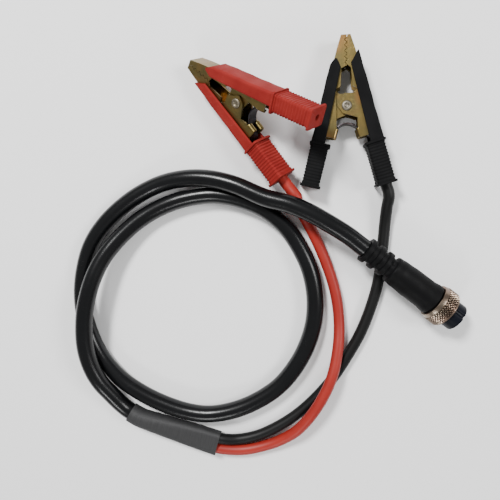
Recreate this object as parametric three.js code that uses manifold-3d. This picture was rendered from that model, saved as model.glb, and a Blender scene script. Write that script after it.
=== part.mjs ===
// Battery clip cable: a round coupling plug, one main cable in a loop, a heat shrink sleeve, and a red
// and a black lead that end in insulated spring clips. It lies on a level floor, +Z up, in millimetres.
import * as THREE from 'three';
import { mergeVertices } from 'three/addons/utils/BufferGeometryUtils.js';
import Module from 'manifold-3d';

const wasm = await Module();
wasm.setup();

const { PI, cos, sin } = Math;
const rad = THREE.MathUtils.degToRad;

// Clearances
const GAP = 0.3;

// Cables
const MAIN_CABLE_OD = 8.8;
const LEAD_OD = 5.6;
const CORE_OD = 3.0;
const CABLE_SIDES = 10;

// Heat shrink sleeve over the joint of the cables
const SLEEVE_WIDTH = 11.8;
const SLEEVE_HEIGHT = 9.6;
const SLEEVE_SIDES = 14;

// Clip: sheet steel jaws
const SHEET = 0.9;
const JAW_HEIGHT = 9.0;
const JAW_REACH = 32.4;
const TIP_WIDTH = 4.4;
const TOOTH_PITCH = 2.6;
const TOOTH_DEPTH = 1.2;
const TOOTH_COUNT = 5;
const THROAT_DEPTH = 2.2;
const THROAT_CORNER = 1.2;
const THROAT_FLARE = 0.6;
const EAR_RADIUS = 4.3;
const EAR_BACK = 6.4;
const EAR_FRONT = 5.8;
const EAR_SHOULDER = 1.2;
const EAR_SLOPE = 1.4;
const EAR_FLANK = 0.8;
const EAR_FLANK_DEPTH = 0.45;
const FOLD_LAP = 0.6;
const WING_DEPTH = 5.6;
const WING_BACK = 24.8;
const WING_FRONT = 30.4;
const TAIL_START = 17.5;
const WEB_LAP = 0.1;
const KNEE_CLEARANCE = 1;

// Clip: rivet and leaf spring
const RIVET_RADIUS = 1.5;
const RIVET_HEAD_RADIUS = 2.4;
const RIVET_HEAD_HEIGHT = 0.8;
const SPRING_SHEET = 0.8;
const SPRING_WIDTH = 6.4;
const SPRING_BEND = 7.2;
const SPRING_CREST = 7.6;
const SPRING_TURN = rad(35);

// Clip: handles and soft covers
const HANDLE_SPREAD = 18.2;
const HANDLE_BACK = 37.4;
const HANDLE_ANGLE = rad(15);
const COVER_WALL = 1.1;
const COVER_WIDTH = 8.7;
const COVER_LENGTH = 64;
const COVER_MOUTH_DEPTH = 4.9;
const COVER_MOUTH_SLANT = 5;
const COVER_SKIRT_DEPTH = 6.1;
const COVER_SKIRT_START = 2;
const GRIP_LENGTH = 21.4;
const FLANGE = 0.7;
const FLANGE_THICKNESS = 1.2;
const END_HOLE_RADIUS = 1.5;

// Plug: the nose, collar, stem and body follow the ring, and the strain relief follows the cable
const RING_OD = 18.6;
const RING_WALL = 1.5;
const RING_LENGTH = 8.2;
const RING_BORE = RING_OD - 2 * RING_WALL;
const RING_BEVEL = 0.5;
const LIP_THICKNESS = 1.2;
const NOSE_OD = RING_BORE - 2.0;
const NOSE_REACH = 14.4;
const NOSE_BEVEL = 0.5;
const COLLAR_OD = RING_BORE - 0.8;
const COLLAR_THICKNESS = 1.2;
const STEM_OD = COLLAR_OD - 2.8;
const STEM_DEPTH = 12;
const BODY_OD = RING_OD - 3.0;
const BODY_REAR_OD = BODY_OD - 1.6;
const BODY_LENGTH = 25.5;
const RELIEF_WALL = 1.0;
const RELIEF_RIB_HEIGHT = 0.9;
const RELIEF_GROOVE_OD = MAIN_CABLE_OD + 2 * RELIEF_WALL;
const RELIEF_OD = RELIEF_GROOVE_OD + 2 * RELIEF_RIB_HEIGHT;
const RELIEF_LENGTH = 15.5;
const RELIEF_RIBS = 3;
const CABLE_DEPTH = 22;
const CONTACT_COUNT = 4;
const CONTACT_CIRCLE = 6.4;
const CONTACT_OD = 2.2;
const CONTACT_BORE = 1.2;
const CONTACT_DEPTH = 8;
const CONTACT_FLOOR = 2;
const PLUG_SIDES = 28;

// Places on the floor, measured in the layout frame and moved so that the clips and plug are centred
const ORIGIN = new THREE.Vector3(37.74, 33.35, 0);
const RING_PLACE = new THREE.Vector3(90, -22.1, 9.95);
const PLUG_HEADING = rad(-37);
const PLUG_PITCH = rad(5);
const BLACK_CLIP_PLACE = new THREE.Vector3(47.5, 70.1, 6.6);
const BLACK_CLIP_HEADING = rad(92);
const RED_CLIP_PLACE = new THREE.Vector3(-2.4, 72.8, 12.85);
const RED_CLIP_HEADING = rad(139.45);
const RED_CLIP_PITCH = rad(10.82);
const RED_CLIP_ROLL = rad(145.43);

// Routes of the cables, hand placed: middle of each cable on the floor of the layout frame
const MAIN_ROUTE = [
  [49.5, 8.6, 14.3], [40, 14.6, 14.9], [31, 19.6, 14.9], [21, 23.8, 14.2], [9.1, 26.9, 13], [-6.2, 33.3, 11.3],
  [-19.4, 36.4, 9.4], [-33.2, 36.6, 7.6], [-47.1, 33.6, 5.4], [-61.6, 26.3, 4.5], [-75.4, 14.9, 4.5],
  [-84.7, 2, 4.5], [-89.8, -14.8, 4.5], [-90.6, -30.7, 4.5], [-87, -46, 4.5], [-80.8, -58.8, 4.5],
  [-70.8, -70, 4.5], [-59.3, -77.6, 4.5], [-46.2, -83.4, 4.5], [-33, -87, 4.5], [-22.1, -87.8, 4.5],
  [-10.1, -85.5, 4.5], [2.7, -80, 4.5], [15.6, -70.7, 4.5], [24.8, -58.8, 4.5], [30.7, -46.4, 4.5],
  [33.6, -34.2, 4.5], [33.7, -22, 4.5], [31.1, -9.3, 4.5], [25.7, 2.3, 4.5], [19.6, 11.3, 4.5],
  [13.3, 17.4, 4.5], [6.7, 21.8, 4.5], [-2, 25.4, 4.5], [-10.7, 27.6, 4.5], [-20.5, 28.4, 4.5],
  [-37.4, 25.4, 4.5], [-54, 17.8, 4.9], [-67, 7, 7.2], [-75.9, -4.5, 10.4], [-81.2, -16.6, 12.9],
  [-84.8, -31, 14], [-85.8, -43.5, 14], [-85, -53.5, 13.8], [-82.4, -62.8, 13.1], [-78.6, -70.6, 11.8],
  [-74, -77.4, 9.4], [-69.6, -83.4, 7.2], [-66.1, -87, 6],
];
const SLEEVE_ROUTE = [
  [-64.4, -88.6, 5.6], [-59.8, -91.2, 5.4], [-52.5, -93.6, 5.2], [-41, -96.9, 5], [-29, -100.2, 4.9],
  [-16.5, -103.6, 4.9],
];
const RED_ROUTE = [
  [-15.9, -106.9, 3.8], [-2.3, -107, 3], [11.6, -102.8, 3.2], [18.8, -98.6, 4.6], [25.8, -92.4, 7.2],
  [35, -79.6, 9.6], [42.3, -64.2, 9.4], [45.4, -50, 6.8], [46.1, -36.6, 3.8], [44.1, -21.3, 3],
  [38.9, -5.1, 2.9], [31.8, 10.4, 3.2], [27.6, 18, 4.6], [23.8, 24.6, 6.5],
];
const BLACK_ROUTE = [
  [-14.4, -100.8, 5], [-6, -101.3, 3.4], [4.7, -98.6, 2.9], [15.6, -92.8, 2.9], [26.3, -84.9, 2.9],
  [36, -75, 2.9], [43.6, -65.2, 2.9], [50.8, -53, 2.9], [57, -40.8, 2.9], [62.2, -26, 2.9],
  [65.3, -12.4, 2.9], [66.8, 4.6, 2.9], [67.5, 15.5, 3.4], [68, 22.5, 4.9],
];

// Where each lead's straight end starts, measured along the handle from its end wall
const RED_LEAD_STOPS = [-12, -5];
const BLACK_LEAD_STOPS = [-5.5, 0.6];

// Longest straight step along the cables, and a shorter one along the black lead, which bends sharply
const STEP_LENGTH = 16;
const BLACK_LEAD_STEP_LENGTH = 10;
const HOLE_SIDES = 16;

// Solid helpers
function toManifold(geometry) {
  const bare = geometry.clone();
  bare.deleteAttribute('normal');
  bare.deleteAttribute('uv');
  const merged = mergeVertices(bare, 1e-4);
  const mesh = new wasm.Mesh({
    numProp: 3,
    vertProperties: new Float32Array(merged.attributes.position.array),
    triVerts: new Uint32Array(merged.index.array),
  });
  mesh.merge();
  return new wasm.Manifold(mesh);
}

function toGeometry(manifold) {
  const mesh = manifold.getMesh();
  const geometry = new THREE.BufferGeometry();
  geometry.setAttribute('position', new THREE.BufferAttribute(mesh.vertProperties, 3));
  geometry.setIndex(new THREE.BufferAttribute(mesh.triVerts, 1));
  return geometry;
}

function join(...geometries) {
  return toGeometry(geometries.map(toManifold).reduce((a, b) => a.add(b)));
}

function cut(geometry, ...tools) {
  return toGeometry(tools.map(toManifold).reduce((a, b) => a.subtract(b), toManifold(geometry)));
}

// Plate whose outline lies in the clip's plane, centred on it and thickness tall
function plate(outline, thickness, middle = 0) {
  const shape = new THREE.Shape(outline.map(([x, y]) => new THREE.Vector2(x, y)));
  const geometry = new THREE.ExtrudeGeometry(shape, { depth: thickness, bevelEnabled: false });
  return geometry.translate(0, 0, middle - thickness / 2);
}

// Two like plates, one above and one below the clip's plane, with outer faces at plus and minus outside
function cheeks(outline, outside) {
  const middle = outside - SHEET / 2;
  return join(plate(outline, SHEET, middle), plate(outline, SHEET, -middle));
}

function disc(radius, height, middle = 0) {
  return new THREE.CylinderGeometry(radius, radius, height, 2 * HOLE_SIDES).rotateX(PI / 2).translate(0, 0, middle);
}

// Handle frame: u runs from the handle's end towards the jaw, v outwards, side is 1 or -1
const handleEnd = (side) => new THREE.Vector2(-HANDLE_BACK, side * HANDLE_SPREAD);

function fromHandle(side, u, v) {
  const end = handleEnd(side);
  const x = end.x + u * cos(HANDLE_ANGLE) + v * sin(HANDLE_ANGLE);
  const y = end.y + side * (-u * sin(HANDLE_ANGLE) + v * cos(HANDLE_ANGLE));
  return [x, y];
}

// Each half's back web lies just inside the cover's outer wall, and its ears grow from a root line
const WEB_OUT = COVER_WIDTH / 2 - COVER_WALL - GAP;
const WEB_IN = WEB_OUT - SHEET;
const EAR_ROOT = EAR_RADIUS + 2 * GAP + EAR_FLANK;

// The leaf spring's legs are as long as it takes to come near the webs, and the lead's core stops before them
const SPRING_CENTRE = -SPRING_CREST - SPRING_BEND;
const SHOULDER_X = SPRING_CENTRE + SPRING_BEND * cos(SPRING_TURN);
const SHOULDER_Y = SPRING_BEND * sin(SPRING_TURN);
const SHOULDER_V = (SHOULDER_X + HANDLE_BACK) * sin(HANDLE_ANGLE) + (SHOULDER_Y - HANDLE_SPREAD) * cos(HANDLE_ANGLE);
const SHOULDER_U = (SHOULDER_X + HANDLE_BACK) * cos(HANDLE_ANGLE) - (SHOULDER_Y - HANDLE_SPREAD) * sin(HANDLE_ANGLE);
const SPRING_LEG = (WEB_IN - 2 * GAP - SHOULDER_V) / cos(SPRING_TURN + HANDLE_ANGLE);
const SPRING_FOOT_U = SHOULDER_U - SPRING_LEG * sin(SPRING_TURN + HANDLE_ANGLE);
const CORE_FRONT = SPRING_FOOT_U - 2 * GAP - 0.2;

// Height of the tooth line above the middle of the clip at distance x from the rivet
function toothLine(x) {
  const fromTip = (JAW_REACH - SHEET - x) / TOOTH_PITCH;
  const phase = fromTip - Math.floor(fromTip);
  return TOOTH_DEPTH * (0.5 - Math.abs(2 * phase - 1));
}

const TEETH_BACK = JAW_REACH - SHEET - TOOTH_COUNT * TOOTH_PITCH;
const THROAT_BACK = EAR_BACK + 1.5;

// One jaw: a channel of sheet steel with teeth in front, ears at the rivet and crimp wings behind
function jaw(side, isOuter) {
  const flip = (points) => points.map(([x, y]) => [x, side * y]);
  const knee = fromHandle(1, COVER_LENGTH + KNEE_CLEARANCE, WEB_OUT);
  const half = GAP / 2;
  const teeth = [];
  for (let i = 0; i <= 2 * TOOTH_COUNT; i += 1) {
    const x = JAW_REACH - SHEET - (i * TOOTH_PITCH) / 2;
    teeth.push([x, half + side * toothLine(x)]);
  }
  const throat = [
    [TEETH_BACK - THROAT_CORNER, THROAT_DEPTH], [THROAT_BACK + 1, THROAT_DEPTH + THROAT_FLARE],
    [THROAT_BACK, EAR_RADIUS + 2 * GAP], [-EAR_RADIUS, EAR_RADIUS + 2 * GAP],
    fromHandle(1, WING_FRONT, -WING_DEPTH), fromHandle(1, WING_BACK, -WING_DEPTH),
    fromHandle(1, WING_BACK, WEB_IN - WEB_LAP), fromHandle(1, TAIL_START, WEB_IN - WEB_LAP),
  ];
  const outline = [
    [JAW_REACH, half - side * TOOTH_DEPTH / 2], ...teeth, ...throat,
    fromHandle(1, TAIL_START, WEB_OUT), knee, [JAW_REACH, TIP_WIDTH / 2],
  ];
  const inside = [
    [JAW_REACH - SHEET, -TIP_WIDTH], [JAW_REACH - SHEET, TIP_WIDTH / 2 - SHEET],
    [knee[0] - GAP, knee[1] - SHEET], fromHandle(1, 0, WEB_IN),
    [-HANDLE_BACK, -HANDLE_SPREAD],
  ];
  let body = cut(plate(flip(outline), JAW_HEIGHT), plate(flip(inside), JAW_HEIGHT - 2 * SHEET));

  // Ears: the outer pair lies in the cheeks' planes, the inner pair is jogged inwards by a fold
  const outside = isOuter ? JAW_HEIGHT / 2 : JAW_HEIGHT / 2 - SHEET - GAP;
  const earFront = THROAT_BACK + FOLD_LAP;
  const flank = EAR_RADIUS * EAR_FLANK;
  const flankDepth = -EAR_RADIUS * EAR_FLANK_DEPTH;
  const ear = flip([
    [earFront, EAR_ROOT], [EAR_FRONT, EAR_ROOT - THROAT_DEPTH], [EAR_FRONT, -EAR_SHOULDER],
    [flank, flankDepth], [0, -EAR_RADIUS], [-flank, flankDepth],
    [-EAR_BACK, EAR_ROOT + EAR_SLOPE],
  ]);
  body = join(body, cheeks(ear, outside));
  if (!isOuter) {
    const fold = flip([
      [earFront, EAR_ROOT - FOLD_LAP], [-EAR_BACK, EAR_ROOT + EAR_SLOPE - FOLD_LAP],
      [-EAR_BACK, EAR_ROOT + EAR_SLOPE + FOLD_LAP], [earFront, EAR_ROOT + FOLD_LAP],
    ]);
    const tall = SHEET + GAP + SHEET;
    const middle = JAW_HEIGHT / 2 - tall / 2;
    body = join(body, plate(fold, tall, middle), plate(fold, tall, -middle));
  }
  return cut(body, disc(RIVET_RADIUS + GAP / 2, 2 * JAW_HEIGHT));
}

// Rivet: a shank through all four ears with a domed head on each side
function rivet() {
  const seat = JAW_HEIGHT / 2 + GAP / 3;
  const top = seat + RIVET_HEAD_HEIGHT;
  const dome = [
    [RIVET_RADIUS, seat], [RIVET_HEAD_RADIUS, seat], [RIVET_HEAD_RADIUS * 0.9, seat + RIVET_HEAD_HEIGHT * 0.55],
    [RIVET_HEAD_RADIUS * 0.5, seat + RIVET_HEAD_HEIGHT * 0.9], [0, top],
  ];
  const lower = dome.map(([r, z]) => [r, -z]).reverse();
  const profile = [...lower, ...dome].map(([r, z]) => new THREE.Vector2(r, z));
  return new THREE.LatheGeometry(profile, HOLE_SIDES).rotateX(PI / 2);
}

// Leaf spring: a strip bent around its crest behind the rivet, with a leg into each handle
function leafSpring() {
  const centre = SPRING_CENTRE;
  const turn = SPRING_TURN;
  const steps = 8;
  const arc = (radius, from, to) => {
    const points = [];
    for (let i = 0; i <= steps; i += 1) {
      const angle = from + ((to - from) * i) / steps;
      points.push([centre + radius * cos(angle), radius * sin(angle)]);
    }
    return points;
  };
  const foot = (radius, side) => {
    const x = centre + radius * cos(turn) - SPRING_LEG * sin(turn);
    return [x, side * (radius * sin(turn) + SPRING_LEG * cos(turn))];
  };
  const outer = SPRING_BEND;
  const inner = SPRING_BEND - SPRING_SHEET;
  const outline = [
    foot(outer, -1), ...arc(outer, -turn, turn), foot(outer, 1), foot(inner, 1), ...arc(inner, turn, -turn),
    foot(inner, -1),
  ];
  return plate(outline, SPRING_WIDTH);
}

// Soft cover: an open channel over the jaw's back and a closed grip with a flange at each end
function cover(side, holeRadius) {
  const half = COVER_WIDTH / 2;
  const inHandle = (points) => points.map(([u, v]) => fromHandle(side, u, v));
  const tall = JAW_HEIGHT + 2 * (GAP + COVER_WALL);
  const skin = plate(inHandle([
    [0, -half], [0, half], [COVER_LENGTH, half],
    [COVER_LENGTH - COVER_MOUTH_SLANT, half - COVER_MOUTH_DEPTH],
    [GRIP_LENGTH + COVER_SKIRT_START, half - COVER_SKIRT_DEPTH], [GRIP_LENGTH, -half],
  ]), tall);
  const ridge = (start) => plate(inHandle([
    [start, -half - FLANGE], [start, half + FLANGE], [start + FLANGE_THICKNESS, half + FLANGE],
    [start + FLANGE_THICKNESS, -half - FLANGE],
  ]), tall + 2 * FLANGE);
  const beyond = COVER_LENGTH + COVER_WIDTH;
  const room = plate(inHandle([
    [COVER_WALL, -half + COVER_WALL], [COVER_WALL, half - COVER_WALL], [beyond, half - COVER_WALL],
    [beyond, -2 * half], [GRIP_LENGTH, -2 * half], [GRIP_LENGTH, -half + COVER_WALL],
  ]), JAW_HEIGHT + 2 * GAP);
  const [x, y] = fromHandle(side, 0, 0);
  const hole = new THREE.CylinderGeometry(holeRadius, holeRadius, 4 * FLANGE_THICKNESS, HOLE_SIDES)
    .rotateZ(PI / 2).rotateZ(-side * HANDLE_ANGLE).translate(x, y, 0);
  return cut(join(skin, ridge(0), ridge(GRIP_LENGTH - FLANGE_THICKNESS)), room, hole);
}

// Surface of revolution about X, from a profile of distance along X and radius
function turned(profile, sides = PLUG_SIDES) {
  const points = profile.map(([x, r]) => new THREE.Vector2(r, -x));
  return new THREE.LatheGeometry(points.reverse(), sides).rotateZ(PI / 2);
}

// Coupling ring: a knurled nut with a lip behind that a collar on the insert holds
function couplingRing() {
  const bevel = RING_BEVEL;
  const lip = STEM_OD / 2 + GAP;
  const outer = RING_OD / 2;
  const bore = RING_BORE / 2;
  const profile = [
    [0, lip], [0, outer - bevel], [bevel, outer], [RING_LENGTH - bevel, outer], [RING_LENGTH, outer - bevel],
    [RING_LENGTH, bore + bevel], [RING_LENGTH - bevel, bore], [LIP_THICKNESS, bore], [LIP_THICKNESS, lip], [0, lip],
  ];
  return turned(profile);
}

// Insert: stem inside the body, a collar that traps the ring, and the nose with its contact holes
function plugInsert() {
  const stem = STEM_OD / 2;
  const nose = NOSE_OD / 2;
  const collar = COLLAR_OD / 2;
  const collarBack = LIP_THICKNESS + GAP;
  const collarFront = collarBack + COLLAR_THICKNESS;
  const bevel = NOSE_BEVEL;
  const profile = [
    [-STEM_DEPTH, 0], [-STEM_DEPTH, stem], [collarBack, stem], [collarBack, collar], [collarFront, collar],
    [collarFront, nose], [NOSE_REACH - bevel, nose], [NOSE_REACH, nose - bevel], [NOSE_REACH, 0],
  ];
  const radius = CONTACT_OD / 2 + GAP;
  const holes = contactPlaces().map(([y, z]) => {
    const hole = new THREE.CylinderGeometry(radius, radius, 2 * CONTACT_DEPTH + 2 * GAP, 12).rotateZ(PI / 2);
    return hole.translate(NOSE_REACH, y, z);
  });
  return cut(turned(profile), ...holes);
}

function contactPlaces() {
  return Array.from({ length: CONTACT_COUNT }, (_, i) => {
    const angle = PI / CONTACT_COUNT + (2 * PI * i) / CONTACT_COUNT;
    return [(CONTACT_CIRCLE / 2) * cos(angle), (CONTACT_CIRCLE / 2) * sin(angle)];
  });
}

// Contact: a small tube with a closed bottom, just below the nose's face
function contact() {
  const outer = CONTACT_OD / 2;
  const bore = CONTACT_BORE / 2;
  const back = NOSE_REACH - CONTACT_DEPTH;
  const front = NOSE_REACH - 2 * GAP;
  const floor = back + CONTACT_FLOOR;
  return turned([[back, 0], [back, outer], [front, outer], [front, bore], [floor, bore], [floor, 0]], 10);
}

// Body with its ribbed strain relief, moulded as one piece around the insert and the main cable
function plugBody() {
  const seat = STEM_OD / 2 + GAP;
  const shoulder = -BODY_LENGTH;
  const rear = shoulder - RELIEF_LENGTH;
  const bore = MAIN_CABLE_OD / 2 + GAP;
  const profile = [
    [-STEM_DEPTH - GAP, 0], [-STEM_DEPTH - GAP, seat], [-GAP, seat], [-GAP, BODY_OD / 2],
    [shoulder * 0.5, BODY_OD / 2], [shoulder + 1.5, BODY_REAR_OD / 2], [shoulder, BODY_REAR_OD / 2 - 1],
  ];
  const pitch = RELIEF_LENGTH / RELIEF_RIBS;
  for (let i = 0; i < RELIEF_RIBS; i += 1) {
    const front = shoulder - i * pitch;
    profile.push([front, RELIEF_GROOVE_OD / 2], [front - pitch / 2, RELIEF_GROOVE_OD / 2]);
    profile.push([front - pitch / 2, RELIEF_OD / 2], [front - pitch, RELIEF_OD / 2]);
  }
  profile.push([rear, bore], [-CABLE_DEPTH, bore], [-CABLE_DEPTH, 0]);
  return turned(profile.reverse());
}

// Tube along a smooth curve through points, with an elliptic section
function tube(points, width, height, sides, stepLength = STEP_LENGTH) {
  const path = new THREE.CatmullRomCurve3(points, false, 'centripetal');
  const section = new THREE.Shape();
  for (let i = 0; i < sides; i += 1) {
    const angle = (2 * PI * (i + 0.5)) / sides;
    const x = (height / 2) * cos(angle);
    const y = (width / 2) * sin(angle);
    if (i === 0) section.moveTo(x, y);
    else section.lineTo(x, y);
  }
  section.closePath();
  const steps = Math.ceil(path.getLength() / stepLength);
  return new THREE.ExtrudeGeometry(section, { steps, extrudePath: path, bevelEnabled: false });
}

// Materials
const finish = (color, roughness, metalness = 0) => new THREE.MeshStandardMaterial({ color, roughness, metalness });
const MATERIALS = {
  redPlastic: finish(0x9c3a34, 0.55),
  blackPlastic: finish(0x202020, 0.55),
  cableJacket: finish(0x26282a, 0.25),
  sleeve: finish(0x3c3c3c, 0.7),
  jawSteel: finish(0x8c7846, 0.35, 1),
  springSteel: finish(0x1c1a1c, 0.4, 1),
  rivetSteel: finish(0xb0aca4, 0.3, 1),
  nickel: finish(0xa89f94, 0.3, 1),
  insert: finish(0x16181c, 0.4),
  copper: finish(0xb87333, 0.4, 1),
};

function named(name, geometry, material) {
  const mesh = new THREE.Mesh(geometry, material);
  mesh.name = name;
  return mesh;
}

const LEAD_END = TAIL_START - 2 * GAP;

// Clip: two jaws on a rivet, a leaf spring, two covers and the lead's bare core in the crimp
function clip(colour, coverMaterial) {
  const group = new THREE.Group();
  const holeRadius = LEAD_OD / 2 + GAP;
  const coreStart = LEAD_END + GAP;
  const core = new THREE.CylinderGeometry(CORE_OD / 2, CORE_OD / 2, CORE_FRONT - coreStart, CABLE_SIDES)
    .rotateZ(PI / 2).translate((CORE_FRONT + coreStart) / 2, 0, 0).rotateZ(HANDLE_ANGLE);
  const end = handleEnd(-1);
  core.translate(end.x, end.y, 0);
  group.add(
    named(`${colour}_cable_jaw`, jaw(-1, true), MATERIALS.jawSteel),
    named(`${colour}_free_jaw`, jaw(1, false), MATERIALS.jawSteel),
    named(`${colour}_pivot_rivet`, rivet(), MATERIALS.rivetSteel),
    named(`${colour}_leaf_spring`, leafSpring(), MATERIALS.springSteel),
    named(`${colour}_cable_cover`, cover(-1, holeRadius), coverMaterial),
    named(`${colour}_free_cover`, cover(1, END_HOLE_RADIUS), coverMaterial),
    named(`${colour}_lead_core`, core, MATERIALS.copper),
  );
  return group;
}

const layout = new THREE.Group();
layout.position.copy(ORIGIN).negate();

// Black clip: flat on the floor, jaws away from the viewer
const blackClip = clip('black', MATERIALS.blackPlastic);
blackClip.position.copy(BLACK_CLIP_PLACE);
blackClip.rotation.set(0, 0, BLACK_CLIP_HEADING);

// Red clip: upside down and leaning, so that its free handle is raised over the black clip
const redClip = clip('red', MATERIALS.redPlastic);
redClip.position.copy(RED_CLIP_PLACE);
redClip.rotation.set(RED_CLIP_ROLL, RED_CLIP_PITCH, RED_CLIP_HEADING, 'ZYX');

// Plug: lying on its ring, nose down by the pitch
const plug = new THREE.Group();
plug.position.copy(RING_PLACE);
plug.rotation.set(0, PLUG_PITCH, PLUG_HEADING, 'ZYX');
plug.add(
  named('coupling_ring', couplingRing(), MATERIALS.nickel),
  named('plug_insert', plugInsert(), MATERIALS.insert),
  named('plug_body', plugBody(), MATERIALS.blackPlastic),
);
contactPlaces().forEach(([y, z], i) => {
  plug.add(named(`contact_${i + 1}`, contact().translate(0, y, z), MATERIALS.copper));
});

layout.add(blackClip, redClip, plug);
layout.updateMatrixWorld(true);

// Point given in a piece's own frame, in the layout frame
function place(group, x, y, z = 0) {
  return new THREE.Vector3(x, y, z).applyEuler(group.rotation).add(group.position);
}

const asPoints = (route) => route.map((point) => new THREE.Vector3(...point));

// A lead ends inside its clip's cable handle, and runs straight through the handle's end wall
function leadEnd(group, stops) {
  return [...stops, LEAD_END / 2, LEAD_END].map((u) => place(group, ...fromHandle(-1, u, 0)));
}

const cableStart = [-CABLE_DEPTH - GAP, -(BODY_LENGTH + RELIEF_LENGTH) / 1.3, -BODY_LENGTH - RELIEF_LENGTH - 3]
  .map((x) => place(plug, x, 0));
const redPoints = [...asPoints(RED_ROUTE), ...leadEnd(redClip, RED_LEAD_STOPS)];
const blackPoints = [...asPoints(BLACK_ROUTE), ...leadEnd(blackClip, BLACK_LEAD_STOPS)];
layout.add(
  named('main_cable', tube([...cableStart, ...asPoints(MAIN_ROUTE)], MAIN_CABLE_OD, MAIN_CABLE_OD, CABLE_SIDES),
    MATERIALS.cableJacket),
  named('heat_shrink_sleeve', tube(asPoints(SLEEVE_ROUTE), SLEEVE_WIDTH, SLEEVE_HEIGHT, SLEEVE_SIDES),
    MATERIALS.sleeve),
  named('red_lead', tube(redPoints, LEAD_OD, LEAD_OD, CABLE_SIDES),
    MATERIALS.redPlastic),
  named('black_lead', tube(blackPoints, LEAD_OD, LEAD_OD, CABLE_SIDES, BLACK_LEAD_STEP_LENGTH),
    MATERIALS.blackPlastic),
);

export default layout;
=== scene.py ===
# %% [markdown]
# # Battery clip cable
# A cable about a metre long lies on a pale floor. One end has a round plug with a knurled ring, the
# other a red and a black lead with spring clips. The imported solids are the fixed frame, in metres, and
# each cell below builds or finishes one piece around them.

# %% Load the frame
import math

import bpy
import numpy as np
from mathutils import Matrix, Vector


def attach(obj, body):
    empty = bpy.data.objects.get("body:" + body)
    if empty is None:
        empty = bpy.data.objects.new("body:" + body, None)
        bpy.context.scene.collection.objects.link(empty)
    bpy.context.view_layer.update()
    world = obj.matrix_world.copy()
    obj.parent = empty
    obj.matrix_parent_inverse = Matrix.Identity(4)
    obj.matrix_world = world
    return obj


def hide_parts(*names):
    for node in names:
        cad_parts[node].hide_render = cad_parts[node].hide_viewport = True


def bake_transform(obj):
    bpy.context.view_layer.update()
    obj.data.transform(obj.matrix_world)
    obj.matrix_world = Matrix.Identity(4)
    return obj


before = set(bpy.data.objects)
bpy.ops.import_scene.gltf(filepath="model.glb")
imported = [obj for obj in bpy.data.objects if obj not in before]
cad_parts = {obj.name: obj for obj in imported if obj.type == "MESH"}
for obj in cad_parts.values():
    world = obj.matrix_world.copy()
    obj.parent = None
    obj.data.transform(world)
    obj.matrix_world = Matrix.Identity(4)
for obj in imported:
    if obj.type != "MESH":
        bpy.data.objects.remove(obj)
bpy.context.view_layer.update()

MM = 0.001

# %% [markdown]
# ## Camera
# The photograph looks almost straight down from about 25 cm, with a slight lean. The camera is made
# first. It looks at a point on the floor,
# and its lens follows from how many millimetres of floor one picture width covers at that distance.

# %% Camera
ORIGIN = np.array([37.74, 33.35, 0.0])
LOOK_AT = -ORIGIN * MM
CAMERA_DISTANCE = 254.6 * MM
LEAN_X = math.radians(-5.56)
LEAN_Y = math.radians(7.56)
FLOOR_WIDTH = 260 * MM
SENSOR = 36.0


def unit(v):
    """Vectors scaled to length one along their last axis."""
    return v / np.linalg.norm(v, axis=-1, keepdims=True)


def add_camera():
    """Camera whose back vector leans from +Z by the two angles, with +Y of the floor up in the picture."""
    back = unit(np.array([math.sin(LEAN_Y), -math.sin(LEAN_X) * math.cos(LEAN_Y),
                          math.cos(LEAN_X) * math.cos(LEAN_Y)]))
    right = unit(np.cross([0.0, 1.0, 0.0], back))
    up = np.cross(back, right)
    place = LOOK_AT + CAMERA_DISTANCE * back
    data = bpy.data.cameras.new("camera")
    data.sensor_width = SENSOR
    data.lens = SENSOR * CAMERA_DISTANCE / FLOOR_WIDTH
    data.clip_start, data.clip_end = 0.01, 20
    camera = bpy.data.objects.new("camera", data)
    turn = np.eye(4)
    turn[:3, 0], turn[:3, 1], turn[:3, 2], turn[:3, 3] = right, up, back, place
    camera.matrix_world = Matrix(turn.tolist())
    bpy.context.scene.collection.objects.link(camera)
    bpy.context.scene.camera = camera
    return camera


camera = add_camera()
print("lens", round(camera.data.lens, 2))

# %% [markdown]
# ## Surfaces on a grid
# Nearly every piece is a grid of points: rows run along the piece, columns run around its section. One
# helper turns such an array into a mesh, joins the last column to the first, and closes each end
# with a fan of faces. Whole arrays are computed at once, so no loop walks over vertices.


# %% Grid helper
def grid_faces(rows, columns, start=0, ring=False):
    """Quads between neighbouring rows and columns. Columns wrap round, and rows too if ring is set."""
    last = rows if ring else rows - 1
    i, j = np.meshgrid(np.arange(last), np.arange(columns), indexing="ij")
    a = i * columns + j
    b = i * columns + (j + 1) % columns
    c = ((i + 1) % rows) * columns + (j + 1) % columns
    d = ((i + 1) % rows) * columns + j
    return start + np.stack([a, b, c, d], axis=-1).reshape(-1, 4)


def as_object(name, points, faces, uv=None, smooth=True, sharp_angle=35):
    """Mesh object at the origin from points (n, 3) and a list of faces, with normals turned outwards."""
    mesh = bpy.data.meshes.new(name)
    mesh.from_pydata(points.tolist(), [], [tuple(face) for face in faces])
    if uv is not None:
        along = mesh.attributes.new("along", "FLOAT_VECTOR", "POINT")
        padded_uv = np.column_stack([uv, np.zeros(len(uv))])
        along.data.foreach_set("vector", padded_uv.astype(np.float32).ravel())
    mesh.validate()
    piece = bpy.data.objects.new(name, mesh)
    bpy.context.scene.collection.objects.link(piece)
    select_only(piece)
    bpy.ops.object.mode_set(mode="EDIT")
    bpy.ops.mesh.select_all(action="SELECT")
    bpy.ops.mesh.remove_doubles(threshold=1e-7)
    bpy.ops.mesh.normals_make_consistent(inside=False)
    bpy.ops.object.mode_set(mode="OBJECT")
    if smooth:
        bpy.ops.object.shade_smooth_by_angle(angle=math.radians(sharp_angle))
    return piece


def select_only(piece):
    """Makes piece the only selected and the active object."""
    for other in bpy.context.selected_objects:
        other.select_set(False)
    piece.select_set(True)
    bpy.context.view_layer.objects.active = piece


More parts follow.
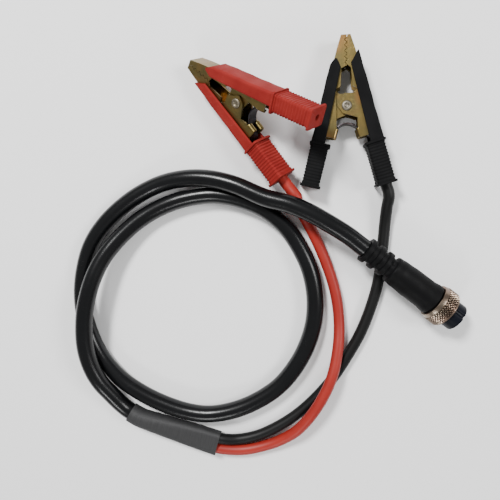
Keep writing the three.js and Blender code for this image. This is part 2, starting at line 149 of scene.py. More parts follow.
def lofts(name, grids, uv=None, sharp_angle=35):
    """One object from several grids (rows, columns, 3). A grid is a tube with both ends closed, or a
    ring if it is given as (grid, True)."""
    points, faces, start = [], [], 0
    for item in grids:
        grid, ring = item if isinstance(item, tuple) else (item, False)
        rows, columns = grid.shape[:2]
        points.append(grid.reshape(-1, 3))
        faces += grid_faces(rows, columns, start, ring).tolist()
        if not ring:
            faces.append(list(range(start + columns - 1, start - 1, -1)))
            first = start + (rows - 1) * columns
            faces.append(list(range(first, first + columns)))
        start += rows * columns
    return as_object(name, np.concatenate(points), faces, uv, sharp_angle=sharp_angle)


def finish(piece, body, slot, material, *nodes):
    """Gives a piece its material, its body and the solids it stands for. The slot is not used."""
    piece.data.materials.clear()
    piece.data.materials.append(material)
    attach(piece, body)
    if nodes:
        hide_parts(*nodes)
    triangles = sum(len(face.vertices) - 2 for face in piece.data.polygons)
    print(piece.name, "on", body, triangles, "triangles")
    return piece


# %% [markdown]
# ## Building materials from nodes
# Every finish here is procedural. A short helper places a shader node and plugs in its inputs, so a
# material reads like a recipe. Effects that several finishes share, such as a fine moulded grain, are
# node groups with named inputs, built once.


# %% Node helpers
def place(tree, kind, inputs=None, **settings):
    """Adds a node, sets its properties, then feeds each input with a value or with another socket."""
    made = tree.nodes.new(kind)
    for key, value in settings.items():
        setattr(made, key, value)
    for key, value in (inputs or {}).items():
        if isinstance(value, bpy.types.NodeSocket):
            tree.links.new(value, made.inputs[key])
        else:
            made.inputs[key].default_value = value
    return made


def new_group(name, inputs, outputs):
    """Empty shader node group with the given sockets, and its input and output nodes."""
    tree = bpy.data.node_groups.new(name, "ShaderNodeTree")
    for label, kind, value in inputs:
        socket = tree.interface.new_socket(label, in_out="INPUT", socket_type=kind)
        if value is not None:
            socket.default_value = value
    for label, kind in outputs:
        tree.interface.new_socket(label, in_out="OUTPUT", socket_type=kind)
    return tree, tree.nodes.new("NodeGroupInput"), tree.nodes.new("NodeGroupOutput")


def math_node(tree, operation, a, b):
    """One arithmetic step, with numbers or sockets on either side."""
    return place(tree, "ShaderNodeMath", {0: a, 1: b}, operation=operation).outputs[0]


def mix_colour(tree, factor, a, b):
    """Mixes colour a towards colour b by factor."""
    return place(tree, "ShaderNodeMix", {0: factor, 6: a, 7: b}, data_type="RGBA").outputs[2]


def ramp(tree, value, low, high):
    """Straight rise from 0 to 1 between low and high, clamped."""
    return place(tree, "ShaderNodeMapRange", {0: value, 1: low, 2: high}, clamp=True).outputs[0]


# %% [markdown]
# Moulded plastic is never quite flat. A fine noise gives its pebbled skin, a broad one the slow swells
# left by uneven cooling, and the broad one also serves as a mask for blotches of colour.


# %% Shared group: moulded grain
def grain_group():
    """Fine pebbled grain plus slow swells: height is a fine noise plus a share of a broad noise."""
    tree, start, end = new_group(
        "moulded_grain",
        [("Vector", "NodeSocketVector", None), ("Grain Scale", "NodeSocketFloat", 2500.0),
         ("Swell Scale", "NodeSocketFloat", 90.0), ("Swell", "NodeSocketFloat", 0.5)],
        [("Height", "NodeSocketFloat"), ("Blotch", "NodeSocketFloat")])
    fine = place(tree, "ShaderNodeTexNoise",
                 {"Vector": start.outputs["Vector"], "Scale": start.outputs["Grain Scale"], "Detail": 2.0})
    broad = place(tree, "ShaderNodeTexNoise",
                  {"Vector": start.outputs["Vector"], "Scale": start.outputs["Swell Scale"], "Detail": 3.0})
    swell = math_node(tree, "MULTIPLY", broad.outputs[0], start.outputs["Swell"])
    total = math_node(tree, "ADD", fine.outputs[0], swell)
    tree.links.new(total, end.inputs["Height"])
    tree.links.new(ramp(tree, broad.outputs[0], 0.35, 0.65), end.inputs["Blotch"])
    return tree


# %% [markdown]
# Handling leaves short scratches that keep together in patches. One stretched noise draws them, and
# a second, slower one decides where they may show.


# %% Shared group: handling marks
def scuff_group():
    """Sparse short scratches in rubbed patches: stretched noise above a threshold times slow noise."""
    tree, start, end = new_group(
        "handling_marks",
        [("Vector", "NodeSocketVector", None), ("Scale", "NodeSocketFloat", 300.0),
         ("Amount", "NodeSocketFloat", 0.5)],
        [("Mask", "NodeSocketFloat")])
    stretched = place(tree, "ShaderNodeMapping",
                      {"Vector": start.outputs["Vector"], "Scale": (1.0, 7.0, 3.0),
                       "Rotation": (0.3, 0.2, 0.6)})
    lines = place(tree, "ShaderNodeTexNoise",
                  {"Vector": stretched.outputs[0], "Scale": start.outputs["Scale"], "Detail": 4.0,
                   "Roughness": 0.7})
    patches = place(tree, "ShaderNodeTexNoise", {"Vector": start.outputs["Vector"], "Scale": 110.0})
    thin = ramp(tree, lines.outputs[0], 0.58, 0.70)
    where = ramp(tree, patches.outputs[0], 0.45, 0.65)
    marks = math_node(tree, "MULTIPLY", thin, where)
    tree.links.new(math_node(tree, "MULTIPLY", marks, start.outputs["Amount"]), end.inputs["Mask"])
    return tree


GRAIN = grain_group()
SCUFFS = scuff_group()


def use_group(tree, group, inputs):
    """Places a node group in a material and feeds its named inputs."""
    node = tree.nodes.new("ShaderNodeGroup")
    node.node_tree = group
    for key, value in inputs.items():
        if isinstance(value, bpy.types.NodeSocket):
            tree.links.new(value, node.inputs[key])
        else:
            node.inputs[key].default_value = value
    return node


def blank(name):
    """New material: its tree, its Principled shader and the Object coordinates."""
    material = bpy.data.materials.new(name)
    material.use_nodes = True
    tree = material.node_tree
    shader = tree.nodes["Principled BSDF"]
    where = tree.nodes.new("ShaderNodeTexCoord").outputs["Object"]
    return material, tree, shader, where


def roughen(tree, shader, value, share, start):
    """Roughness as a start value plus a share of another value."""
    rough = place(tree, "ShaderNodeMath", {0: value, 1: share, 2: start}, operation="MULTIPLY_ADD")
    tree.links.new(rough.outputs[0], shader.inputs["Roughness"])


def bump(tree, shader, height, strength, distance):
    """Feeds a height through a Bump node into the shader's normal."""
    node = place(tree, "ShaderNodeBump", {"Height": height, "Strength": strength, "Distance": distance})
    tree.links.new(node.outputs[0], shader.inputs["Normal"])


# %% [markdown]
# ## Finishes
# The soft covers and the plug are moulded vinyl: one colour with slow blotches, a fine grain that
# breaks the highlight, and a few paler rubbed marks. The cable jackets are smoother and glossier, with
# faint drawn lines along them. The jaws are steel with a yellow passivated coat that wanders between
# brass, olive and pink.


# %% Vinyl
def vinyl(name, colour, shade, roughness, grain=2600.0, depth=0.00006, marks=0.5, specular=0.09):
    """Moulded soft plastic: base colour mixed to a shade by blotches, with grain and rubbed marks."""
    material, tree, shader, where = blank(name)
    grained = use_group(tree, GRAIN, {"Vector": where, "Grain Scale": grain, "Swell": 0.6})
    rubbed = use_group(tree, SCUFFS, {"Vector": where, "Amount": marks})
    base = mix_colour(tree, grained.outputs["Blotch"], (*colour, 1), (*shade, 1))
    pale = tuple(min(1.0, 1.35 * c + 0.03) for c in colour)
    tinted = mix_colour(tree, rubbed.outputs["Mask"], base, (*pale, 1))
    tree.links.new(tinted, shader.inputs["Base Color"])
    roughen(tree, shader, grained.outputs["Blotch"], 0.12, roughness - 0.06)
    shader.inputs["Specular IOR Level"].default_value = specular
    bump(tree, shader, grained.outputs["Height"], 0.35, depth)
    return material


RED_VINYL = vinyl("red_vinyl", (0.23, 0.019, 0.015), (0.19, 0.013, 0.011), 0.62)
BLACK_VINYL = vinyl("black_vinyl", (0.0085, 0.0085, 0.0088), (0.0065, 0.0065, 0.0068), 0.62, marks=0.1,
                    specular=0.03)
PLUG_VINYL = vinyl("plug_vinyl", (0.0035, 0.0035, 0.0038), (0.0026, 0.0026, 0.0028), 0.55,
                   grain=1800.0, marks=0.12)
NOSE_PLASTIC = vinyl("nose_plastic", (0.005, 0.006, 0.010), (0.004, 0.005, 0.008), 0.36,
                     depth=0.00003, marks=0.2)


# %% [markdown]
# A jacket is drawn through a die, so its marks run along the cable. Each point of a cord knows its
# place along and round the cable, and noise that is stretched in those two numbers gives the lines.


# %% Cable jackets
def jacket(name, colour, shade, roughness, specular):
    """Extruded jacket: the point's own place along and round the cable drives long drawn lines."""
    material, tree, shader, where = blank(name)
    along = place(tree, "ShaderNodeAttribute", attribute_name="along").outputs["Vector"]
    drawn = place(tree, "ShaderNodeMapping", {"Vector": along, "Scale": (6.0, 40.0, 1.0)})
    streak = place(tree, "ShaderNodeTexNoise", {"Vector": drawn.outputs[0], "Scale": 1.0, "Detail": 3.0})
    grained = use_group(tree, GRAIN,
                        {"Vector": where, "Grain Scale": 1500.0, "Swell Scale": 60.0, "Swell": 1.0})
    rubbed = use_group(tree, SCUFFS, {"Vector": where, "Amount": 0.25})
    base = mix_colour(tree, grained.outputs["Blotch"], (*colour, 1), (*shade, 1))
    pale = tuple(min(1.0, 1.3 * c + 0.02) for c in colour)
    tinted = mix_colour(tree, rubbed.outputs["Mask"], base, (*pale, 1))
    tree.links.new(tinted, shader.inputs["Base Color"])
    roughen(tree, shader, rubbed.outputs["Mask"], 0.25, roughness)
    shader.inputs["Specular IOR Level"].default_value = specular
    total = math_node(tree, "ADD", math_node(tree, "MULTIPLY", streak.outputs[0], 0.15),
                      math_node(tree, "MULTIPLY", grained.outputs["Height"], 0.25))
    bump(tree, shader, total, 0.5, 0.0002)
    return material


MAIN_JACKET = jacket("main_jacket", (0.0040, 0.0043, 0.0048), (0.0030, 0.0032, 0.0036), 0.25, specular=0.26)
RED_JACKET = jacket("red_jacket", (0.30, 0.020, 0.013), (0.25, 0.015, 0.010), 0.46, specular=0.3)
BLACK_JACKET = jacket("black_jacket", (0.0040, 0.0040, 0.0040), (0.0030, 0.0030, 0.0030), 0.48,
                      specular=0.22)


# %% [markdown]
# Heat shrink film is matte and dark grey, and wrinkles across its length as it tightens. Its grey is
# painted darker in the creases of the wrinkles, as shade, and lighter on their crests.


# %% Heat shrink
def shrink_film():
    """Matte sleeve: fine wrinkles across it, from noise stretched around the sleeve, over a dull grey
    that is painted darker in the creases, as shade, and lighter on the crests.
    """
    material, tree, shader, where = blank("shrink_film")
    along = place(tree, "ShaderNodeAttribute", attribute_name="along").outputs["Vector"]
    across = place(tree, "ShaderNodeMapping", {"Vector": along, "Scale": (45.0, 5.0, 1.0)})
    wrinkle = place(tree, "ShaderNodeTexNoise", {"Vector": across.outputs[0], "Scale": 1.0, "Detail": 4.0,
                                                 "Distortion": 0.4})
    grained = use_group(tree, GRAIN, {"Vector": where, "Grain Scale": 2200.0, "Swell": 0.8})
    # painted shade: the wrinkle noise that drives the bump also makes the grey darker in the creases and
    # lighter on the crests
    crease_shaded_grey = mix_colour(tree, ramp(tree, wrinkle.outputs[0], 0.35, 0.7), (0.012, 0.012, 0.0125, 1),
                       (0.024, 0.024, 0.025, 1))
    tree.links.new(crease_shaded_grey, shader.inputs["Base Color"])
    shader.inputs["Roughness"].default_value = 0.62
    fine = math_node(tree, "MULTIPLY", grained.outputs["Height"], 0.3)
    total = math_node(tree, "ADD", wrinkle.outputs[0], fine)
    bump(tree, shader, total, 0.6, 0.0003)
    return material


SHRINK_FILM = shrink_film()


# %% [markdown]
# All metals share one recipe with other numbers: three tones that wander into each other, fine
# scratches that roughen the sheen, and on the knurled ring some brown grime in the hollows.


# %% Metals
def metal(name, colours, roughness, patch_scale=160.0, depth=0.00003, grime=None):
    """Metal that wanders between three colours by two slow noises, with fine scratches in its sheen.
    With grime, the first number of the piece's attribute darkens its hollows towards that colour."""
    material, tree, shader, where = blank(name)
    first, second, third = colours
    slow = place(tree, "ShaderNodeTexNoise", {"Vector": where, "Scale": patch_scale, "Detail": 3.0})
    slower = place(tree, "ShaderNodeTexNoise", {"Vector": where, "Scale": patch_scale * 0.45, "Detail": 2.0})
    base = mix_colour(tree, ramp(tree, slow.outputs[0], 0.4, 0.62), (*first, 1), (*second, 1))
    tinted = mix_colour(tree, ramp(tree, slower.outputs[0], 0.52, 0.68), base, (*third, 1))
    if grime:
        along = place(tree, "ShaderNodeAttribute", attribute_name="along").outputs["Vector"]
        height = place(tree, "ShaderNodeSeparateXYZ", {0: along}).outputs[0]
        tinted = mix_colour(tree, ramp(tree, height, 0.15, 0.8), (*grime, 1), tinted)
    tree.links.new(tinted, shader.inputs["Base Color"])
    rubbed = use_group(tree, SCUFFS, {"Vector": where, "Scale": 700.0, "Amount": 0.5})
    grained = use_group(tree, GRAIN,
                        {"Vector": where, "Grain Scale": 1800.0, "Swell": 1.2, "Swell Scale": 260.0})
    roughen(tree, shader, rubbed.outputs["Mask"], 0.3, roughness)
    shader.inputs["Metallic"].default_value = 1.0
    total = math_node(tree, "ADD", grained.outputs["Height"], rubbed.outputs["Mask"])
    bump(tree, shader, total, 0.4, depth)
    return material


JAW_COAT = metal("jaw_coat", [(0.225, 0.165, 0.058), (0.16, 0.128, 0.052), (0.28, 0.155, 0.058)], 0.34,
                 depth=0.00010)
RIVET_STEEL = metal("rivet_steel", [(0.20, 0.18, 0.14), (0.14, 0.125, 0.095), (0.22, 0.18, 0.11)], 0.5)
SPRING_STEEL = metal("spring_steel", [(0.055, 0.048, 0.050), (0.035, 0.032, 0.036), (0.080, 0.055, 0.050)],
                     0.34)
NICKEL = metal("nickel", [(0.27, 0.225, 0.175), (0.19, 0.145, 0.11), (0.24, 0.14, 0.105)], 0.3,
               patch_scale=90.0, grime=(0.035, 0.022, 0.015))
CONTACT_METAL = metal("contact_metal", [(0.78, 0.62, 0.30), (0.70, 0.55, 0.27), (0.80, 0.66, 0.36)], 0.28)
COPPER = metal("copper", [(0.62, 0.30, 0.17), (0.52, 0.25, 0.14), (0.66, 0.36, 0.22)], 0.32)

# %% [markdown]
# ## Cords
# A cord is a fixed length of something flexible. Its route is the same list of points
# as in the solids, in millimetres, and a smooth curve runs through them. The section is carried
# along that curve with one axis kept level, which is steady because the cords lie almost flat.

# %% Routes
RING_PLACE = np.array([90, -22.1, 9.95])
RELIEF_REAR = -41.0
CABLE_DEPTH = 22.0
MAIN_OD = 8.8
LEAD_OD = 5.6

MAIN_ROUTE = [
    [49.5, 8.6, 14.3], [40, 14.6, 14.9], [31, 19.6, 14.9], [21, 23.8, 14.2], [9.1, 26.9, 13],
    [-6.2, 33.3, 11.3], [-19.4, 36.4, 9.4], [-33.2, 36.6, 7.6], [-47.1, 33.6, 5.4], [-61.6, 26.3, 4.5],
    [-75.4, 14.9, 4.5], [-84.7, 2, 4.5], [-89.8, -14.8, 4.5], [-90.6, -30.7, 4.5], [-87, -46, 4.5],
    [-80.8, -58.8, 4.5], [-70.8, -70, 4.5], [-59.3, -77.6, 4.5], [-46.2, -83.4, 4.5], [-33, -87, 4.5],
    [-22.1, -87.8, 4.5], [-10.1, -85.5, 4.5], [2.7, -80, 4.5], [15.6, -70.7, 4.5], [24.8, -58.8, 4.5],
    [30.7, -46.4, 4.5], [33.6, -34.2, 4.5], [33.7, -22, 4.5], [31.1, -9.3, 4.5], [25.7, 2.3, 4.5],
    [19.6, 11.3, 4.5], [13.3, 17.4, 4.5], [6.7, 21.8, 4.5], [-2, 25.4, 4.5], [-10.7, 27.6, 4.5],
    [-20.5, 28.4, 4.5], [-37.4, 25.4, 4.5], [-54, 17.8, 4.9], [-67, 7, 7.2], [-75.9, -4.5, 10.4],
    [-81.2, -16.6, 12.9], [-84.8, -31, 14], [-85.8, -43.5, 14], [-85, -53.5, 13.8], [-82.4, -62.8, 13.1],
    [-78.6, -70.6, 11.8], [-74, -77.4, 9.4], [-69.6, -83.4, 7.2], [-66.1, -87, 6],
]
SLEEVE_ROUTE = [
    [-64.4, -88.6, 5.6], [-59.8, -91.2, 5.4], [-52.5, -93.6, 5.2], [-41, -96.9, 5], [-29, -100.2, 4.9],
    [-16.5, -103.6, 4.9],
]
RED_ROUTE = [
    [-15.9, -106.9, 3.8], [-2.3, -107, 3], [11.6, -102.8, 3.2], [18.8, -98.6, 4.6], [25.8, -92.4, 7.2],
    [35, -79.6, 9.6], [42.3, -64.2, 9.4], [45.4, -50, 6.8], [46.1, -36.6, 3.8], [44.1, -21.3, 3],
    [38.9, -5.1, 2.9], [31.8, 10.4, 3.2], [27.6, 18, 4.6], [23.8, 24.6, 6.5],
]
BLACK_ROUTE = [
    [-14.4, -100.8, 5], [-6, -101.3, 3.4], [4.7, -98.6, 2.9], [15.6, -92.8, 2.9], [26.3, -84.9, 2.9],
    [36, -75, 2.9], [43.6, -65.2, 2.9], [50.8, -53, 2.9], [57, -40.8, 2.9], [62.2, -26, 2.9],
    [65.3, -12.4, 2.9], [66.8, 4.6, 2.9], [67.5, 15.5, 3.4], [68, 22.5, 4.9],
]


def smooth_route(points, step):
    """Centripetal Catmull-Rom curve through points, sampled evenly: each span is a cubic whose end
    slopes come from its neighbours, with spans weighted by the square root of their length."""
    p = np.asarray(points, float)
    p = np.vstack([2 * p[0] - p[1], p, 2 * p[-1] - p[-2]])
    d = np.sqrt(np.linalg.norm(np.diff(p, axis=0), axis=1))[:, None]
    a, b, c, e = p[:-3], p[1:-2], p[2:-1], p[3:]
    d0, d1, d2 = d[:-2], d[1:-1], d[2:]
    m1 = ((b - a) / d0 - (c - a) / (d0 + d1) + (c - b) / d1) * d1
    m2 = ((c - b) / d1 - (e - b) / (d1 + d2) + (e - c) / d2) * d1
    t = np.linspace(0, 1, 60, endpoint=False)[:, None, None]
    cubic = ((2 * t**3 - 3 * t**2 + 1) * b + (t**3 - 2 * t**2 + t) * m1
             + (-2 * t**3 + 3 * t**2) * c + (t**3 - t**2) * m2)
    fine = np.vstack([cubic.transpose(1, 0, 2).reshape(-1, 3), p[-2]])
    run = np.concatenate([[0], np.cumsum(np.linalg.norm(np.diff(fine, axis=0), axis=1))])
    stops = np.linspace(0, run[-1], int(run[-1] / step) + 1)
    return np.column_stack([np.interp(stops, run, fine[:, k]) for k in range(3)]), stops


def level_frame(path):
    """Side and up directions at each point: side is level, up is square to it and to the path."""
    along = unit(np.gradient(path, axis=0))
    side = unit(np.cross(along, [0.0, 0.0, 1.0]))
    return side, np.cross(side, along)


def tube_grid(path, radius, sides):
    """Circles of radius (a number or one per point) around a path, as a grid, and its round places."""
    side, up = level_frame(path)
    angle = np.linspace(0, 2 * np.pi, sides, endpoint=False)
    ring = np.cos(angle)[None, :, None] * side[:, None] + np.sin(angle)[None, :, None] * up[:, None]
    radii = np.broadcast_to(radius, (len(path),))[:, None, None]
    return path[:, None] + radii * ring, angle


def cord(name, points, diameter, step, sides):
    """Round cord along points, with flat closed ends, and its along and round places as an attribute."""
    path, stops = smooth_route(points, step)
    waver = 1 + 0.004 * np.sin(stops / 7.3) + 0.003 * np.sin(stops / 2.9 + 1)
    grid, angle = tube_grid(path, diameter / 2 * waver, sides)
    places = np.stack(np.meshgrid(stops / 10, angle / (2 * np.pi), indexing="ij"), -1).reshape(-1, 2)
    piece = lofts(name, [grid * MM], places)
    return piece, path * MM, stops[-1] * MM


# %% [markdown]
# Each clip and the plug is made in a frame of its own, with its hinge or ring at the middle, and then
# turned and moved to where it lies. The clip's handles have a second frame that runs along them.


# %% Frames of the clips and the plug
BLACK_PLACE = np.array([47.5, 70.1, 6.6])
RED_PLACE = np.array([-2.4, 72.8, 12.85])


def turned(heading, pitch=0.0, roll=0.0):
    """Rotation matrix of a roll about X, then a pitch about Y, then a heading about Z, in degrees."""
    turns = zip((heading, pitch, roll), "ZYX")
    first, second, third = (Matrix.Rotation(math.radians(angle), 3, axis) for angle, axis in turns)
    return np.array(first @ second @ third)


PLUG_TURN = turned(-37, 5)
BLACK_TURN = turned(92)
RED_TURN = turned(139.45, 10.82, 145.43)
HANDLE_ANGLE = math.radians(15)
HANDLE_BACK = 37.4
HANDLE_SPREAD = 18.2


def settle(points, turn, spot):
    """Points of a piece's own frame, in millimetres, turned and moved to the row frame in metres."""
    return (points @ turn.T + spot - ORIGIN) * MM


def from_handle(side, u, v, z):
    """Handle place (u towards the jaw, v outwards, z along the rivet) in the clip's own frame."""
    x = -HANDLE_BACK + u * math.cos(HANDLE_ANGLE) + v * math.sin(HANDLE_ANGLE)
    y = side * (HANDLE_SPREAD - u * math.sin(HANDLE_ANGLE) + v * math.cos(HANDLE_ANGLE))
    return np.stack(np.broadcast_arrays(x, y, z), axis=-1)


LEAD_END = 16.9
RED_LEAD_STOPS = [-12, -5]
BLACK_LEAD_STOPS = [-5.5, 0.6]


def lead_end(stops, turn, spot):
    """Last points of a lead: straight through the handle's end wall and into the grip."""
    return from_handle(-1, np.array([*stops, LEAD_END / 2, LEAD_END]), 0, 0) @ turn.T + spot


# %% [markdown]
# The main cable starts inside the plug and ends in the sleeve, and each lead runs from the sleeve into
# its grip. The hidden ends are a few points more than the solids have, so that no gap shows.


# %% Main cable and leads
CABLE_BACK = np.array([-CABLE_DEPTH - 0.3, RELIEF_REAR / 1.3, RELIEF_REAR - 3])
in_plug = np.column_stack([CABLE_BACK, np.zeros(3), np.zeros(3)]) @ PLUG_TURN.T + RING_PLACE
MAIN_IN_SLEEVE = [[-60.2, -90.8, 5.4]]
RED_IN_SLEEVE = [[-24, -104.4, 4.4]]
BLACK_IN_SLEEVE = [[-22.4, -99.6, 4.6]]
main_points = np.vstack([in_plug, MAIN_ROUTE, MAIN_IN_SLEEVE]) - ORIGIN
red_points = np.vstack([RED_IN_SLEEVE, RED_ROUTE, lead_end(RED_LEAD_STOPS, RED_TURN, RED_PLACE)]) - ORIGIN
black_points = np.vstack([BLACK_IN_SLEEVE, BLACK_ROUTE,
                          lead_end(BLACK_LEAD_STOPS, BLACK_TURN, BLACK_PLACE)]) - ORIGIN

main_cable, main_path, main_length = cord("main_cable_jacket", main_points, MAIN_OD, 1.6, 32)
red_lead, red_path, red_length = cord("red_lead_jacket", red_points, LEAD_OD, 1.3, 24)
black_lead, black_path, black_length = cord("black_lead_jacket", black_points, LEAD_OD, 1.3, 24)
finish(main_cable, "root", "main_cable", MAIN_JACKET, "main_cable")
finish(red_lead, "root", "red_lead", RED_JACKET, "red_lead")
finish(black_lead, "root", "black_lead", BLACK_JACKET, "black_lead")
print("lengths", round(main_length, 4), round(red_length, 4), round(black_length, 4))

# %% [markdown]
# ## Heat shrink sleeve
# The sleeve has gripped a thick round cable at one end and two thin leads side by side at the other.
# So its section changes along the way, from a circle to a flat oval with a slight waist between
# the leads, and the shrinking leaves shallow wrinkles.


# %% Sleeve
SLEEVE_WALL = 0.6
ROUND_WIDE = 5.15
ROUND_TALL = 5.05
FLAT_WIDE = 6.45
FLAT_TALL = 3.9


def sleeve_grid(shrink):
    """Ovals along the sleeve's route: half width and half height blend from the round end to the flat
    end by a smooth step, the ovals grow squarer as their sine and cosine are raised to a power below 1,
    the middle is pinched by a cosine, and soft waves ripple along it."""
    path, stops = smooth_route(np.array(SLEEVE_ROUTE) - ORIGIN, 0.6)
    side, up = level_frame(path)
    t = stops / stops[-1]
    s = t * t * (3 - 2 * t)
    angle = np.linspace(0, 2 * np.pi, 56, endpoint=False)
    lift = 0.15 * s
    wide = ROUND_WIDE + (FLAT_WIDE - ROUND_WIDE) * s - shrink
    squareness = 1 - 0.32 * s[:, None]
    across = np.sign(np.cos(angle)) * np.abs(np.cos(angle)) ** squareness
    upward = np.sign(np.sin(angle)) * np.abs(np.sin(angle)) ** squareness
    tall = ROUND_TALL + (FLAT_TALL - ROUND_TALL) * s - shrink
    ripple = 0.16 * np.sin(stops / 1.9) * np.sin(3.1 * t * np.pi) + 0.09 * np.sin(stops / 0.8 + 2)
    ripple = (ripple * np.sin(np.pi * t))[:, None] * (0.6 + 0.4 * np.cos(3 * angle + 2))[None]
    waist = 1 - 0.16 * s[:, None] * (np.cos(2 * angle)[None] < 0) * np.cos(2 * angle)[None] ** 2
    x = (wide[:, None] + ripple) * across
    y = (tall[:, None] + ripple) * upward * waist - lift[:, None]
    grid = path[:, None] + x[..., None] * side[:, None] + y[..., None] * up[:, None]
    places = np.stack(np.meshgrid(stops / 10, angle / (2 * np.pi), indexing="ij"), -1).reshape(-1, 2)
    return grid, places


sleeve_outer, sleeve_places = sleeve_grid(0.0)
sleeve_inner, _ = sleeve_grid(SLEEVE_WALL)
sleeve_grid_all = np.concatenate([sleeve_outer, sleeve_inner[::-1]]) * MM
sleeve_along = np.vstack([sleeve_places, sleeve_places[::-1]])
sleeve = lofts("heat_shrink_film", [(sleeve_grid_all, True)], sleeve_along)
finish(sleeve, "root", "heat_shrink", SHRINK_FILM, "heat_shrink_sleeve")

# %% [markdown]
# ## Soft covers
# Each handle wears a moulded vinyl cover. Its back end is a ribbed grip, a rectangular tube with
# a flange at both ends and a hole in the end wall. Its front is an open channel that reaches over the
# jaw's back. Both are sections carried along the handle: a rounded rectangle, and a C with
# thick walls.

# %% Cover sizes
COVER_HALF = 4.35
COVER_TALL = 5.9
COVER_WALL = 1.1
GRIP_LENGTH = 21.4
FLANGE = 0.7
FLANGE_THICKNESS = 1.2
CORNER = 1.1
RIB_PITCH = 1.5
RIB_HEIGHT = 0.26
RIB_MARGIN = 0.8
GRIP_CLEARANCE = 0.12
FREE_HOLE = 1.5


def rounded_box(half_v, half_z, corner, count):
    """Closed loop of count points around a rectangle with round corners, spaced evenly: four quarter
    circles joined by straight sides, measured out by length."""
    quarter = np.linspace(0, np.pi / 2, 7)
    corners = [(1, 1, 0), (-1, 1, 1), (-1, -1, 2), (1, -1, 3)]
    loop = np.concatenate([
        np.column_stack([sv * (half_v - corner) + corner * np.cos(quarter + k * np.pi / 2),
                         sz * (half_z - corner) + corner * np.sin(quarter + k * np.pi / 2)])
        for sv, sz, k in corners])
    loop = np.vstack([loop, loop[:1]])
    run = np.concatenate([[0], np.cumsum(np.linalg.norm(np.diff(loop, axis=0), axis=1))])
    stops = np.linspace(0, run[-1], count, endpoint=False)
    return np.column_stack([np.interp(stops, run, loop[:, k]) for k in (0, 1)])


def circle_like(loop, radius):
    """Circle whose points lie in the same directions as those of a loop."""
    return radius * unit(loop)


def grip_grid(side, hole):
    """Ring shaped surface: hole, end wall, outer skin with flanges and ribs, front rim, inner room. The
    skin is the base loop moved towards a wider loop by the flange's height, or back by the ribs' wave."""
    count = 72
    base = rounded_box(COVER_HALF, COVER_TALL, CORNER, count)
    wide = rounded_box(COVER_HALF + FLANGE, COVER_TALL + FLANGE, CORNER, count)
    inset = rounded_box(COVER_HALF + FLANGE - 0.25, COVER_TALL + FLANGE - 0.25, CORNER, count)
    room = rounded_box(COVER_HALF - COVER_WALL, COVER_TALL - COVER_WALL, 0.6, count)
    front = GRIP_LENGTH - FLANGE_THICKNESS
    u = np.concatenate([[0.25, FLANGE_THICKNESS - 0.15, FLANGE_THICKNESS],
                        np.linspace(FLANGE_THICKNESS, front, 130),
                        [front, front + 0.15, GRIP_LENGTH - 0.25]])
    on_flange = np.zeros(len(u), bool)
    on_flange[[0, 1, -2, -1]] = True
    ribbed = (u > FLANGE_THICKNESS + RIB_MARGIN) & (u < front - RIB_MARGIN)
    wave = np.clip(1.5 * np.cos(2 * np.pi * (u - FLANGE_THICKNESS - RIB_MARGIN) / RIB_PITCH), -1, 1)
    rise = np.where(on_flange, 1.0, np.where(ribbed, RIB_HEIGHT / FLANGE * (wave - 1) / 2, 0.0))
    skin = base[None] + (wide - base)[None] * rise[:, None, None]
    end = [(COVER_WALL, circle_like(base, hole)), (0.15, circle_like(base, hole)),
           (0.0, circle_like(base, hole + 0.15)), (0.0, inset)]
    rim = [(GRIP_LENGTH, inset), (GRIP_LENGTH, room), (COVER_WALL, room)]
    us = np.concatenate([[place[0] for place in end], u, [place[0] for place in rim]])
    loops = np.concatenate([np.stack([place[1] for place in end]), skin,
                            np.stack([place[1] for place in rim])])
    return from_handle(side, us[:, None], loops[..., 0], loops[..., 1])


def channel_section(edge):
    """Closed C loop in v and z: along the outside of three walls, round a lip, and back inside."""
    quarter = np.linspace(0, np.pi / 2, 6)
    half, tall, r = COVER_HALF, COVER_TALL, CORNER
    skirt = np.linspace(0, 1, 8)
    inner_r = 0.5
    iv, iz = half - COVER_WALL, tall - COVER_WALL
    lip = np.linspace(0, np.pi, 5)[1:-1]
    top = [np.column_stack([edge + skirt * (half - r - edge), np.full(8, tall)]),
           np.column_stack([half - r + r * np.sin(quarter), tall - r + r * np.cos(quarter)])]
    top = np.concatenate(top)
    outer = np.concatenate([top, top[::-1] * [1, -1]])
    inside = [np.column_stack([edge + skirt * (iv - inner_r - edge), np.full(8, iz)]),
              np.column_stack([iv - inner_r + inner_r * np.sin(quarter),
                               iz - inner_r + inner_r * np.cos(quarter)])]
    inside = np.concatenate(inside)
    inner = np.concatenate([inside, inside[::-1] * [1, -1]])[::-1]
    mid, reach = (tall + iz) / 2, COVER_WALL / 2
    lower_lip = np.column_stack([edge - reach * 0.5 * np.sin(lip), -mid - reach * np.cos(lip)])
    upper_lip = lower_lip[::-1] * [1, -1]
    return np.concatenate([outer, lower_lip, inner, upper_lip])


def channel_grid(side, mouth):
    """C sections from inside the grip's front rim to the slanted mouth. Each point's u runs on a
    straight line to the mouth's own u at that v, so the mouth may be cut to any outline."""
    t = np.linspace(0, 1, 46)
    edge = np.interp(t, [0, 0.06, 0.8, 1], [-1.9, -1.75, -0.9, -0.55])
    loops = np.stack([channel_section(e) for e in edge])
    start = GRIP_LENGTH - 0.6
    reach = np.interp(loops[..., 0], *mouth)
    u = start + t[:, None] * (reach - start)
    sag = 0.12 * np.sin(u / 5.3 + 1) * np.sin(u / 2.1)
    v = loops[..., 0] + sag * (loops[..., 0] > 0)
    z = loops[..., 1] * (1 + 0.012 * np.sin(u / 6.1 + 0.5))
    return from_handle(side, u, v, z)


FREE_MOUTH = ([-0.6, 1.6, 2.6, 4.4], [57.5, 60.4, 60.6, 57.0])
CABLE_MOUTH = ([-0.6, 3.4, 4.4], [59.0, 63.0, 63.8])


